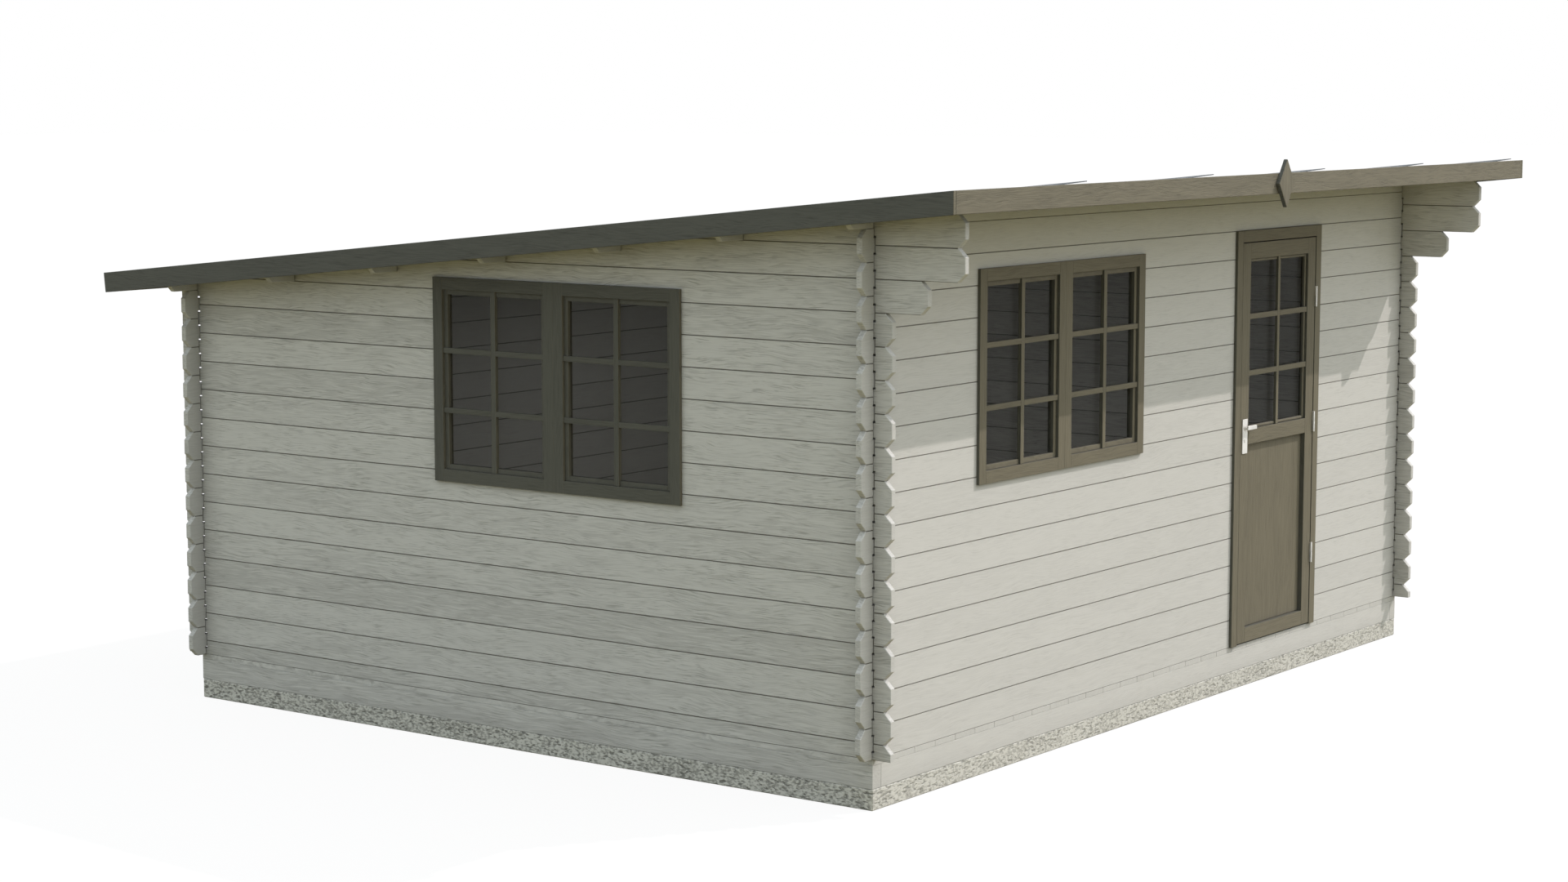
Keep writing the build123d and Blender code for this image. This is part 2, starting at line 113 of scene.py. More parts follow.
def start_material(name):
    """A new material, with the Object coordinates that its patterns are drawn on."""
    material = bpy.data.materials.new(name)
    material.use_nodes = True
    tree = material.node_tree
    return material, Shade(tree, tree.nodes.new("ShaderNodeTexCoord").outputs["Object"])


def noise(place, sizes, detail):
    """Cloudy noise whose blots have these sizes along the three axes, in metres."""
    scaled = place.node("ShaderNodeVectorMath", {"operation": "DIVIDE"}, {0: place, 1: sizes})
    return place.node("ShaderNodeTexNoise", {}, {"Vector": scaled, "Scale": 1.0, "Detail": detail})


def ramp(value, low, high):
    """A smooth step from 0 at low to 1 at high."""
    sockets = {"Value": value, "From Min": low, "From Max": high}
    return value.node("ShaderNodeMapRange", {"interpolation_type": "SMOOTHSTEP"}, sockets)


def mix(share, first, second):
    """The first colour where share is 0 and the second where it is 1."""
    return share.node("ShaderNodeMix", {"data_type": "RGBA"}, {0: share, 6: first, 7: second}, 2)


def finish_surface(material, color, roughness, height, relief, plain=None):
    """Feeds the surface its colour, roughness and relief, and sets what is the same all over."""
    shader = material.node_tree.nodes["Principled BSDF"]
    bump = height.node("ShaderNodeBump", {}, {"Height": height, "Distance": relief, "Strength": 1.0})
    for name, value in {"Base Color": color, "Roughness": roughness, "Normal": bump}.items():
        if isinstance(value, Shade):
            material.node_tree.links.new(value.socket, shader.inputs[name])
        else:
            shader.inputs[name].default_value = value
    for name, value in (plain or {}).items():
        shader.inputs[name].default_value = value


def solids_of(bm):
    """The vertices of a mesh in groups, one for each separate solid."""
    for vert in bm.verts:
        vert.tag = False
    groups = []
    for start in bm.verts:
        if start.tag:
            continue
        start.tag = True
        group = [start]
        for vert in group:
            for edge in vert.link_edges:
                other = edge.other_vert(vert)
                if not other.tag:
                    other.tag = True
                    group.append(other)
        groups.append(group)
    return groups


def eased_copy(node, arris, shortest=0.0):
    """A merged copy of a node's solids with every sharp arris longer than the shortest eased."""
    bm = bmesh.new()
    bm.from_mesh(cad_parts[node].data)
    bmesh.ops.remove_doubles(bm, verts=bm.verts, dist=weld_distance)
    bmesh.ops.dissolve_limit(bm, angle_limit=flat_angle, verts=bm.verts, edges=bm.edges)
    arris_layer = bm.faces.layers.float.new("arris")
    for group in solids_of(bm):
        edges = {edge for vert in group for edge in vert.link_edges
                 if edge.calc_length() > shortest}
        sharp = [edge for edge in edges if edge.calc_face_angle(0) > sharp_angle]
        sharp.sort(key=lambda edge: edge.index)
        eased = bmesh.ops.bevel(bm, geom=sharp, offset=arris, offset_type="OFFSET", segments=1,
                                profile=0.5, affect="EDGES", clamp_overlap=True, material=-1)
        for face in eased["faces"]:
            face[arris_layer] = 1.0
    bm.normal_update()
    return bm


def mark_sunny(bm):
    """Marks how far each face looks to the sunny front, where weather has bleached the markings; the other
    faces take a stain's painted shade.
    """
    sun_layer = bm.faces.layers.float.new("sunned")
    for face in bm.faces:
        face[sun_layer] = max(0.0, -face.normal.y)


def add_piece(bm, name, material, body, slot, *nodes):
    """Makes the finished piece, which rides on a body and stands for these nodes."""
    mesh = bpy.data.meshes.new(name)
    bm.to_mesh(mesh)
    bm.free()
    mesh.materials.append(material)
    piece = bpy.data.objects.new(name, mesh)
    bpy.context.scene.collection.objects.link(piece)
    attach(piece, body)
    if nodes:
        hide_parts(*nodes)
    return piece


def cast_concrete():
    material, place = start_material("cast_concrete")
    sunned = place.node("ShaderNodeAttribute", {"attribute_name": "sunned"}, output="Fac")
    strength = 1 - sunned * slab_bleach
    cloud = noise(place, slab_cloud_size, detail=4.0)
    grit = noise(place, slab_grit_size, detail=3.0)
    scratch = noise(place, slab_scratch_size, detail=2.0)
    pit = ramp(scratch, *slab_pit_range)
    tint = ramp(cloud * slab_cloud_share + grit * slab_grit_share, *slab_tint_range)
    color = mix((tint - slab_mean_tint) * strength + slab_mean_tint, slab_grey, slab_pale)
    color = mix(pit * strength * slab_pit_share, color, slab_pit)
    height = (grit * slab_grit_height - pit * slab_pit_depth) * strength
    finish_surface(material, color, slab_roughness, height, slab_relief)
    return material


slab = eased_copy("foundation_slab", slab_arris)
mark_sunny(slab)
add_piece(slab, "slab", cast_concrete(), "cabin", "concrete", "foundation_slab")

# Sill beams
# Planed softwood beams laid on the slab under the walls, weathered to a pale grey.
# The side beams run through, and the front and back beams butt between them.
sill_arris = 0.0012
timber_pale = (0.668, 0.660, 0.638, 1)
timber_grey = (0.515, 0.508, 0.490, 1)
timber_dark = (0.240, 0.236, 0.220, 1)
# The dark of the joints, also used for the painted shade near other timbers.
joint_and_shade_dark = (0.115, 0.108, 0.088, 1)
timber_roughness = 0.80
timber_relief = 0.0005
timber_bleach = 0.70
# No painted shade: plain timber keeps the same colour on faces turned from the sunny front.
no_painted_shade = (1, 1, 1, 1)
timber_checks = 0.50
grain_spread = 40
cut_end_slant = 0.6
noise_mean = 0.5
wander_size = (0.35, 0.13, 0.3)
wander_reach = 0.07
growth_size = (1.0, 0.080, 0.15)
growth_rings = 100
ring_share = 0.045
fibre_size = (0.15, 0.0038, 0.02)
cloud_size = (0.50, 0.08, 0.1)
patch_size = (0.18, 0.055, 0.1)
patch_range = (0.28, 0.62)
check_size = (0.075, 0.0034, 0.02)
check_range = (0.51, 0.67)
check_depth = 0.8
line_share = 0.62
cloud_share = 0.25
tone_share = 0.13
tint_range = (0.34, 0.60)
mean_tint = 0.6
joint_share = 0.85
joint_bleach = 0.12
end_grain_loss = 0.06
# How far, and how strongly, painted shade darkens the wood near other timbers.
corner_reach = 0.16
corner_painted_shade = 0.58


def mark_timbers(bm, name):
    """Gives each timber its grain along its longest side, its tone, its cut ends and its sunny faces."""
    chance = random.Random(name)
    grain_layer = bm.verts.layers.float_vector.new("grain")
    tone_layer = bm.faces.layers.float.new("tone")
    end_layer = bm.faces.layers.float.new("cut_end")
    mark_sunny(bm)
    for group in solids_of(bm):
        spans = []
        for axis in range(3):
            places = [vert.co[axis] for vert in group]
            spans.append(max(places) - min(places))
        order = sorted(range(3), key=lambda axis: -spans[axis])
        shift = Vector([chance.uniform(0, grain_spread) for _ in range(3)])
        tone = chance.random()
        for vert in group:
            vert[grain_layer] = Vector([vert.co[axis] for axis in order]) + shift
            for face in vert.link_faces:
                face[tone_layer] = tone
                face[end_layer] = float(abs(face.normal[order[0]]) > cut_end_slant)


def weathered_wood(name, pale, grey, dark, check_share, roughness, relief,
                   bleach=0.0, painted_shade=no_painted_shade, gloss=0.5):
    """Wood with fibres and growth rings along the grain, short dark checks and dark joints.

    On faces to the sunny front bleach softens the markings, and a painted shade tint darkens all other
    faces.
    Painted shade darkens the wood where other timbers are near, and dirt darkens the cut ends a little.
    """
    material, place = start_material(name)
    grain = place.node("ShaderNodeAttribute", {"attribute_name": "grain"}, output="Vector")
    tone = place.node("ShaderNodeAttribute", {"attribute_name": "tone"}, output="Fac")
    cut_end = place.node("ShaderNodeAttribute", {"attribute_name": "cut_end"}, output="Fac")
    joint = place.node("ShaderNodeAttribute", {"attribute_name": "joint"}, output="Fac")
    sunned = place.node("ShaderNodeAttribute", {"attribute_name": "sunned"}, output="Fac")
    strength = 1 - sunned * bleach
    wander = noise(grain, wander_size, detail=2.0)
    lift = place.node("ShaderNodeCombineXYZ", {}, {"Y": (wander - noise_mean) * wander_reach})
    bent = place.node("ShaderNodeVectorMath", {"operation": "ADD"}, {0: grain, 1: lift})
    growth = noise(grain, growth_size, detail=1.0)
    rings = growth.math("SINE", growth * growth_rings, 0)
    fibre = noise(bent, fibre_size, detail=3.0)
    cloud = noise(grain, cloud_size, detail=3.0)
    patch = noise(grain, patch_size, detail=2.0)
    check = ramp(noise(bent, check_size, detail=2.0), *check_range) * ramp(patch, *patch_range)
    lines = fibre + rings * ring_share * (1 - cut_end)
    tint = ramp(lines * line_share + cloud * cloud_share + tone * tone_share, *tint_range)
    color = mix((tint - mean_tint) * strength + mean_tint, grey, pale)
    color = mix(check * strength * check_share, color, dark)
    # Painted shade: faces turned away from the sunny front are multiplied by a darker tint.
    color = place.node("ShaderNodeMix", {"data_type": "RGBA", "blend_type": "MULTIPLY"},
                       {0: 1 - sunned, 6: color, 7: painted_shade}, 2)
    # Painted shade: ambient occlusion darkens the colour where other timbers are near; the cut ends darken
    # a little with dirt.
    open_air = place.node("ShaderNodeAmbientOcclusion", {"samples": 3}, {"Distance": corner_reach},
                          output="AO")
    corner_shade_and_end_grain = (1 - open_air) * corner_painted_shade + cut_end * end_grain_loss
    color = mix(corner_shade_and_end_grain, color, joint_and_shade_dark)
    color = mix(joint * (joint_share - sunned * joint_bleach), color, joint_and_shade_dark)
    height = (lines - check * check_depth) * strength
    finish_surface(material, color, roughness, height, relief, {"Specular IOR Level": gloss})
    return material


sill_wood = weathered_wood("sill_wood", timber_pale, timber_grey, timber_dark, timber_checks,
                           timber_roughness, timber_relief, timber_bleach)
sills = eased_copy("sill_beams", sill_arris)
mark_timbers(sills, "sills")
add_piece(sills, "sills", sill_wood, "cabin", "sill_wood", "sill_beams")

# Floor joists
# Sawn softwood joists on the slab, set between the front and back sills to carry the boards.
joist_arris = 0.002
joists = eased_copy("floor_joists", joist_arris)
mark_timbers(joists, "joists")
add_piece(joists, "joists", sill_wood, "cabin", "sill_wood", "floor_joists")

# Floor boards
# Planed softwood boards laid from front to back over the sills and joists, under the logs.
# Their ends are flush with the front wall, where they have weathered like the logs.
floor_board_width = 0.154
floor_board_gap = 0.0016
floor_board_arris = 0.001
floor_checks = 0.35


def board(bm, first, last, arris):
    """A board between two opposite corners, with its arrises eased."""
    low = Vector([min(pair) for pair in zip(first, last)])
    high = Vector([max(pair) for pair in zip(first, last)])
    place = Matrix.Translation((low + high) / 2) @ Matrix.Diagonal((*(high - low), 1))
    corners = bmesh.ops.create_cube(bm, size=1.0, matrix=place)["verts"]
    edges = {edge for vert in corners for edge in vert.link_edges}
    bmesh.ops.bevel(bm, geom=sorted(edges, key=lambda edge: edge.index), offset=arris,
                    offset_type="OFFSET", segments=2, profile=0.5, affect="EDGES",
                    clamp_overlap=True, material=-1)


floor_low, floor_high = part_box("floor_boards")
floor_count = round((floor_high.x - floor_low.x) / floor_board_width)
floor_step = (floor_high.x - floor_low.x) / floor_count
floor = bmesh.new()
for index in range(floor_count):
    start = floor_low.x + index * floor_step
    board(floor, (start + floor_board_gap / 2, floor_low.y, floor_low.z),
          (start + floor_step - floor_board_gap / 2, floor_high.y, floor_high.z), floor_board_arris)
floor.normal_update()
mark_timbers(floor, "floor")
floor_wood = weathered_wood("floor_wood", timber_pale, timber_grey, timber_dark, floor_checks,
                            timber_roughness, timber_relief, timber_bleach)
add_piece(floor, "floor_planks", floor_wood, "cabin", "floor_wood", "floor_boards")

# Log walls
# Planed logs laid on edge, with crossed notches at the corners and the ends cut to a blunt point.
# Each log sits on the one below, and the eased edges between two logs make a thin dark joint.
log_arris = 0.0022
log_shortest_arris = 0.045
joint_slant = 0.5
joint_skew = 0.2
log_wood = weathered_wood("log_wood", timber_pale, timber_grey, timber_dark, timber_checks,
                          timber_roughness, timber_relief, timber_bleach)


def mark_joints(bm):
    """Marks the eased edges along the top and foot of each log, where dirt darkens the joint."""
    arris_layer = bm.faces.layers.float["arris"]
    joint_layer = bm.faces.layers.float.new("joint")
    for face in bm.faces:
        skew = min(abs(face.normal.x), abs(face.normal.y))
        level = abs(face.normal.z) > joint_slant and skew < joint_skew
        face[joint_layer] = face[arris_layer] * level


log_nodes = [name for name in sorted(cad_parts) if "_logs" in name]
for node in log_nodes:
    logs = eased_copy(node, log_arris, log_shortest_arris)
    mark_timbers(logs, node)
    mark_joints(logs)
    add_piece(logs, f"{node}_timber", log_wood, "cabin", "log_wood", node)

# Purlins
# Planed beams from side to side, notched over the side walls, that carry the deck.
# Their ends reach out under the side eaves and are cut away at the foot.
purlin_arris = 0.003
purlins = eased_copy("roof_purlins", purlin_arris)
mark_timbers(purlins, "purlins")
add_piece(purlins, "purlins", log_wood, "cabin", "log_wood", "roof_purlins")

# Roof deck
# Tongued boards nailed to the purlins from front to back, with a small groove between them below.
deck_thickness = 0.020
deck_board_width = 0.096
deck_board_gap = 0.0008
deck_arris = 0.003
deck_checks = 0.45
deck_low, deck_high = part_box("roof_deck")
deck_drop = deck_high.z - deck_low.z - deck_thickness
deck_count = round((deck_high.x - deck_low.x) / deck_board_width)
deck_step = (deck_high.x - deck_low.x) / deck_count
deck = bmesh.new()
for index in range(deck_count):
    start = deck_low.x + index * deck_step
    board(deck, (start + deck_board_gap / 2, deck_low.y, 0),
          (start + deck_step - deck_board_gap / 2, deck_high.y, deck_thickness), deck_arris)
slope = Matrix.Identity(4)
slope[2][1] = -deck_drop / (deck_high.y - deck_low.y)
slope[2][3] = deck_high.z - deck_thickness - slope[2][1] * deck_low.y
bmesh.ops.transform(deck, matrix=slope, verts=deck.verts)
deck.normal_update()
mark_timbers(deck, "deck")
deck_wood = weathered_wood("deck_wood", timber_pale, timber_grey, timber_dark, deck_checks,
                           timber_roughness, timber_relief)
add_piece(deck, "deck_boards", deck_wood, "cabin", "deck_wood", "roof_deck")

# Roof felt
# Strips of mineral roofing felt laid from front to back on the deck, each lapped over the next.
# The face is covered in fine slate grains, a little darker where rain has washed them away.
felt_arris = 0.001
felt_pale = (0.150, 0.165, 0.180, 1)
felt_grey = (0.080, 0.090, 0.100, 1)
felt_fleck = (0.30, 0.32, 0.34, 1)
felt_roughness = 0.95
felt_relief = 0.0012
felt_wash_size = (0.35, 1.2, 0.3)
felt_wash_share = 0.3
felt_grain_size = (0.0028, 0.0028, 0.0028)
felt_grain_share = 0.7
felt_tint_range = (0.36, 0.62)
felt_fleck_size = (0.005, 0.005, 0.005)
felt_fleck_range = (0.60, 0.68)
felt_fleck_share = 0.5


def mineral_felt():
    material, place = start_material("mineral_felt")
    wash = noise(place, felt_wash_size, detail=4.0)
    grains = noise(place, felt_grain_size, detail=1.0)
    flecks = ramp(noise(place, felt_fleck_size, detail=1.0), *felt_fleck_range)
    tint = ramp(wash * felt_wash_share + grains * felt_grain_share, *felt_tint_range)
    color = mix(tint, felt_grey, felt_pale)
    color = mix(flecks * felt_fleck_share, color, felt_fleck)
    finish_surface(material, color, felt_roughness, grains, felt_relief)
    return material


felt = eased_copy("roof_felt", felt_arris)
add_piece(felt, "felt_strips", mineral_felt(), "cabin", "felt", "roof_felt")

# Fascia boards and diamond
# Planed boards nailed round the edge of the roof, stained a dark grey brown.
# The two front boards butt in the middle, and a diamond plate covers their joint.
fascia_arris = 0.002
stain_pale = (0.204, 0.185, 0.138, 1)
stain_grey = (0.155, 0.141, 0.105, 1)
stain_dark = (0.085, 0.077, 0.058, 1)
# Painted shade: this tint darkens the fascia stain on faces turned away from the sunny front.
stain_painted_shade = (0.52, 0.585, 0.69, 1)
stain_roughness = 0.70
stain_gloss = 0.25
stain_relief = 0.0005
stain_checks = 0.45
fascia_wood = weathered_wood("fascia_stain", stain_pale, stain_grey, stain_dark, stain_checks,
                             stain_roughness, stain_relief, painted_shade=stain_painted_shade, gloss=stain_gloss)
for node in [name for name in sorted(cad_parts) if "fascia" in name]:
    plank = eased_copy(node, fascia_arris)
    mark_timbers(plank, node)
    add_piece(plank, f"{node}_plank", fascia_wood, "cabin", "fascia_wood", node)

# Windows
# Fixed double windows of stained wood: two casings side by side on the wall, with a lining behind.
# In each light a sash holds the pane, and a grid of flat bars lies on the sash within the casing.
casing_border = 0.055
casing_proud = 0.014
casing_arris = 0.0012
trim_pale = (0.182, 0.163, 0.116, 1)
trim_grey = (0.144, 0.129, 0.092, 1)
trim_dark = (0.080, 0.072, 0.051, 1)
# Painted shade: this tint darkens the trim stain on faces turned away from the sunny front.
trim_painted_shade = (0.58, 0.645, 0.755, 1)
trim_checks = 0.20
mullion_width = 0.107
wall_joint = 0.0004
lining_inset = 0.030
lining_depth = 0.043
inner_trim_thick = 0.0146
sash_border = 0.022
sash_depth = 0.028
sash_arris = 0.0015
bar_out = 0.009
bar_back = -0.010
upright_bar = 0.027
level_bar = 0.024
bar_arris = 0.0015
bar_drop = 0.003
pane_arris = 0.0005
pane_tint = (0.010, 0.011, 0.010, 1)
pane_alpha = 0.20
pane_roughness = 0.03
pane_specular = 0.12
pane_wave = 0.0004
pane_wave_size = (0.6, 0.6, 0.6)
front_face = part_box("front_logs_low")[0].y
left_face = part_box("left_logs_low")[0].x


def window_glass():
    material, place = start_material("window_glass")
    wave = noise(place, pane_wave_size, detail=1.0)
    plain = {"Alpha": pane_alpha, "Specular IOR Level": pane_specular}
    finish_surface(material, pane_tint, pane_roughness, wave, pane_wave, plain)
    return material


glass = window_glass()
trim_wood = weathered_wood("trim_stain", trim_pale, trim_grey, trim_dark, trim_checks,
                           stain_roughness, stain_relief, painted_shade=trim_painted_shade, gloss=stain_gloss)


def front_place(along, out, up):
    """A place on the front wall, by its distance out from the face of the logs."""
    return along, front_face - out, up


def side_place(along, out, up):
    """A place on the left wall, by its distance out from the face of the logs."""
    return left_face - out, along, up


def ring(bm, place, sides, levels, border, outs, arris):
    """Four boards round an opening: two uprights, and two rails between them."""
    (left, right), (foot, head), (back, face) = sides, levels, outs
    board(bm, place(left, back, foot), place(left + border, face, head), arris)
    board(bm, place(right - border, back, foot), place(right, face, head), arris)
    board(bm, place(left + border, back, foot), place(right - border, face, foot + border), arris)
    board(bm, place(left + border, back, head - border), place(right - border, face, head), arris)


def cross_bars(bm, place, sides, levels, border, outs, upright, level):
    """One upright and two level bars over a light, on its border and deeper between the borders."""
    (left, right), (foot, head), (back, seat, face) = sides, levels, outs
    start, end = (left + right) / 2 - upright / 2, (left + right) / 2 + upright / 2
    for inset, low, high in ((0, seat + wall_joint, face), (border + wall_joint, back, seat)):
        board(bm, place(start, low, foot + inset), place(end, high, head - inset), bar_arris)
        for third in (1 / 3, 2 / 3):
            middle = foot + (head - foot) * third - bar_drop
            under, over = middle - level / 2, middle + level / 2
            for inner, outer in ((start, left + inset), (end, right - inset)):
                board(bm, place(inner, low, under), place(outer, high, over), bar_arris)


def dress_window(name, place, axis):
    """The casings, lining, inner trim, sashes, bars and panes of one double window."""
    low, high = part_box(f"{name}_frame")
    left, right, foot, head = low[axis], high[axis], low.z, high.z
    middle = (left + right) / 2
    lights = ((left + casing_border, middle - mullion_width / 2),
              (middle + mullion_width / 2, right - casing_border))
    sill_edge, head_edge = foot + casing_border, head - casing_border

    casings = bmesh.new()
    for sides in ((left, middle), (middle, right)):
        ring(casings, place, sides, (foot, head), casing_border, (wall_joint, casing_proud), casing_arris)
    ring(casings, place, (left + lining_inset, right - lining_inset),
         (foot + lining_inset, head - lining_inset), casing_border - lining_inset,
         (-lining_depth, wall_joint), casing_arris)
    board(casings, place(middle - mullion_width / 2, -lining_depth, sill_edge),
          place(middle + mullion_width / 2, wall_joint, head_edge), casing_arris)
    casings.normal_update()
    mark_timbers(casings, name)
    add_piece(casings, f"{name}_casings", trim_wood, "cabin", "trim_wood", f"{name}_frame")

    trim = bmesh.new()
    ring(trim, place, (left, right), (foot, head), lining_inset - wall_joint,
         (-lining_depth, -lining_depth + inner_trim_thick), casing_arris)
    trim.normal_update()
    mark_timbers(trim, f"{name}_inside")
    add_piece(trim, f"{name}_inside_trim", trim_wood, "cabin", "trim_wood", f"{name}_inner_trim")

    sashes = bmesh.new()
    bars = bmesh.new()
    levels = (sill_edge + wall_joint, head_edge - wall_joint)
    for start, end in lights:
        sides = (start + wall_joint, end - wall_joint)
        ring(sashes, place, sides, levels, sash_border, (-sash_depth, 0), sash_arris)
        cross_bars(bars, place, sides, levels, sash_border, (bar_back, 0, bar_out), upright_bar, level_bar)
    for bm, kind in ((sashes, "sash_frames"), (bars, "bars")):
        bm.normal_update()
        mark_timbers(bm, f"{name}_{kind}")
    add_piece(sashes, f"{name}_sash_frames", trim_wood, "cabin", "trim_wood", f"{name}_sashes")
    add_piece(bars, f"{name}_bars", trim_wood, "cabin", "trim_wood")
    panes = eased_copy(f"{name}_glass", pane_arris)
    add_piece(panes, f"{name}_panes", glass, "cabin", "glass", f"{name}_glass")


dress_window("front_window", front_place, 0)
dress_window("side_window", side_place, 1)

# Door frame
# A casing of stained boards on the wall, a lining through the logs and a stop behind the leaf.
# The inner trim covers the joint indoors, and a low threshold lies on the sill under the leaf.
stop_width = 0.014
stop_depth = 0.010
frame_low, frame_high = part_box("door_frame")
leaf_low, leaf_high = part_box("door_leaf")
jamb_left, jamb_right = frame_low.x + casing_border, frame_high.x - casing_border
frame_head = frame_high.z - casing_border


def portal(bm, sides, head, border, outs, arris):
    """Two uprights from the foot of the frame, and a head board between them."""
    (left, right), (back, face) = sides, outs
    board(bm, front_place(left, back, frame_low.z), front_place(left + border, face, head), arris)
    board(bm, front_place(right - border, back, frame_low.z), front_place(right, face, head), arris)
    board(bm, front_place(left + border, back, head - border), front_place(right - border, face, head),
          arris)


jambs = bmesh.new()
portal(jambs, (frame_low.x, frame_high.x), frame_high.z, casing_border,
       (wall_joint, casing_proud), casing_arris)
portal(jambs, (frame_low.x + lining_inset, frame_high.x - lining_inset),
       frame_high.z - lining_inset + stop_width, casing_border - lining_inset,
       (-lining_depth, wall_joint), casing_arris)
portal(jambs, (jamb_left, jamb_right), frame_head, stop_width,
       (-lining_depth, stop_depth - lining_depth), casing_arris)
jambs.normal_update()
mark_timbers(jambs, "jambs")
add_piece(jambs, "door_jambs", trim_wood, "cabin", "trim_wood", "door_frame")

door_trim = bmesh.new()
portal(door_trim, (frame_low.x, frame_high.x), frame_high.z, lining_inset - wall_joint,
       (-lining_depth, -lining_depth + inner_trim_thick), casing_arris)
door_trim.normal_update()
mark_timbers(door_trim, "door_trim")
add_piece(door_trim, "door_inside_trim", trim_wood, "cabin", "trim_wood", "door_inner_trim")

threshold = eased_copy("door_threshold", casing_arris)
mark_timbers(threshold, "threshold")
add_piece(threshold, "threshold", trim_wood, "cabin", "trim_wood", "door_threshold")

# Door leaf
# Two full stiles and three rails, stained like the casing, round a pane above and a panel below.
# A bead holds the pane, and a grid of flat bars divides it into six.
leaf_stile = 0.080
leaf_top_rail = 0.078
leaf_bottom_rail = 0.071
leaf_arris = 0.0015
leaf_face = front_face - leaf_low.y
leaf_back = front_face - leaf_high.y
bead_border = 0.015
bead_recess = 0.011
bead_depth = 0.0166
bead_arris = 0.005
door_bar_recess = 0.003
door_bar_depth = 0.0145
door_upright_bar = 0.024
door_level_bar = 0.026
panel_arris = 0.003
light_left, light_right = leaf_low.x + leaf_stile, leaf_high.x - leaf_stile
light_foot, light_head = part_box("door_glass")[0].z - wall_joint, leaf_high.z - leaf_top_rail
panel_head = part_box("door_panel")[1].z + wall_joint
rails = ((leaf_low.z, leaf_low.z + leaf_bottom_rail), (panel_head, light_foot), (light_head, leaf_high.z))

leaf = bmesh.new()
for start, end in ((leaf_low.x, light_left), (light_right, leaf_high.x)):
    board(leaf, front_place(start, leaf_back, leaf_low.z), front_place(end, leaf_face, leaf_high.z),
          leaf_arris)
for foot, head in rails:
    board(leaf, front_place(light_left, leaf_back, foot), front_place(light_right, leaf_face, head),
          leaf_arris)
leaf.normal_update()
mark_timbers(leaf, "leaf")
add_piece(leaf, "leaf_frame", trim_wood, "door", "trim_wood", "door_leaf")

door_bars = bmesh.new()
bead_face = leaf_face - bead_recess
ring(door_bars, front_place, (light_left, light_right), (light_foot, light_head), bead_border,
     (bead_face - bead_depth, bead_face), bead_arris)
bar_face = leaf_face - door_bar_recess
cross_bars(door_bars, front_place, (light_left, light_right), (light_foot, light_head), bead_border,
           (bar_face - door_bar_depth, bead_face, bar_face), door_upright_bar, door_level_bar)
door_bars.normal_update()
mark_timbers(door_bars, "door_bars")
add_piece(door_bars, "leaf_bars", trim_wood, "door", "trim_wood")

panel = eased_copy("door_panel", panel_arris)
mark_timbers(panel, "panel")
add_piece(panel, "leaf_panel", trim_wood, "door", "trim_wood", "door_panel")
add_piece(eased_copy("door_glass", pane_arris), "leaf_pane", glass, "door", "glass", "door_glass")

# Hinges
# Three steel butt hinges on the right edge, bright zinc, with the lower knuckle on the frame.
hinge_arris = 0.0005
steel_bright = (0.84, 0.83, 0.80, 1)
steel_dull = (0.72, 0.71, 0.68, 1)
steel_metallic = 0.35
steel_relief = 0.0002
steel_smear_size = (0.05, 0.05, 0.05)
steel_smear_range = (0.35, 0.65)
steel_smear_share = 0.15
steel_roughness = 0.28
steel_brush_size = (0.02, 0.02, 0.0006)


def bright_steel():
    material, place = start_material("bright_steel")
    smear = noise(place, steel_smear_size, detail=3.0)
    brushed = noise(place, steel_brush_size, detail=2.0)
    color = mix(ramp(smear, *steel_smear_range), steel_dull, steel_bright)
    roughness = smear * steel_smear_share + steel_roughness
    finish_surface(material, color, roughness, brushed, steel_relief, {"Metallic": steel_metallic})
    return material


steel = bright_steel()
feet = eased_copy("frame_hinges", hinge_arris)
add_piece(feet, "hinge_feet", steel, "cabin", "steel", "frame_hinges")
caps = eased_copy("leaf_hinges", hinge_arris)
add_piece(caps, "hinge_caps", steel, "door", "steel", "leaf_hinges")

# Handle plates and levers
# A long steel plate on each face of the leaf, and a flat lever on each end of one spindle.
# Outside, a turned rose surrounds the spindle and a round lock sits below it in the plate.
plate_arris = 0.0012
lever_arris = 0.0025
rose_radius = 0.012
rose_hole = 0.0072
rose_thick = 0.005
lock_radius = 0.0085
lock_proud = 0.003
lock_drop = 0.062
rose_turns = 32
plates = eased_copy("handle_plates", plate_arris)
add_piece(plates, "long_plates", steel, "door", "steel", "handle_plates")
plate_low, plate_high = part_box("handle_plates")
lever_low, lever_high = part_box("door_lever")
spindle = Vector(((plate_low.x + plate_high.x) / 2, plate_low.y, (lever_low.z + lever_high.z) / 2))


def turned_ring(bm, center, inner, outer, thick):
    """A ring of square section, turned round a level axis that points out of the door."""
    corners = []
    for radius, out in ((inner, 0), (outer, 0), (outer, thick), (inner, thick)):
        corners.append(bm.verts.new(center + Vector((radius, -out, 0))))
    loop = [bm.edges.new((corners[index - 1], corners[index])) for index in range(4)]
    bmesh.ops.spin(bm, geom=corners + loop, cent=center, axis=(0, 1, 0), angle=math.tau,
                   steps=rose_turns, use_merge=True)


fittings = bmesh.new()
turned_ring(fittings, spindle - Vector((0, wall_joint, 0)), rose_hole, rose_radius, rose_thick)
lock_place = Matrix.Translation(spindle - Vector((0, lock_proud / 2, lock_drop)))
bmesh.ops.create_cone(fittings, cap_ends=True, segments=rose_turns, radius1=lock_radius,
                      radius2=lock_radius, depth=lock_proud,
                      matrix=lock_place @ Matrix.Rotation(math.radians(90), 4, "X"))
bmesh.ops.recalc_face_normals(fittings, faces=fittings.faces)
add_piece(fittings, "rose_and_lock", steel, "door", "steel")
levers = eased_copy("door_lever", lever_arris)
add_piece(levers, "levers", steel, "handle", "steel", "door_lever")

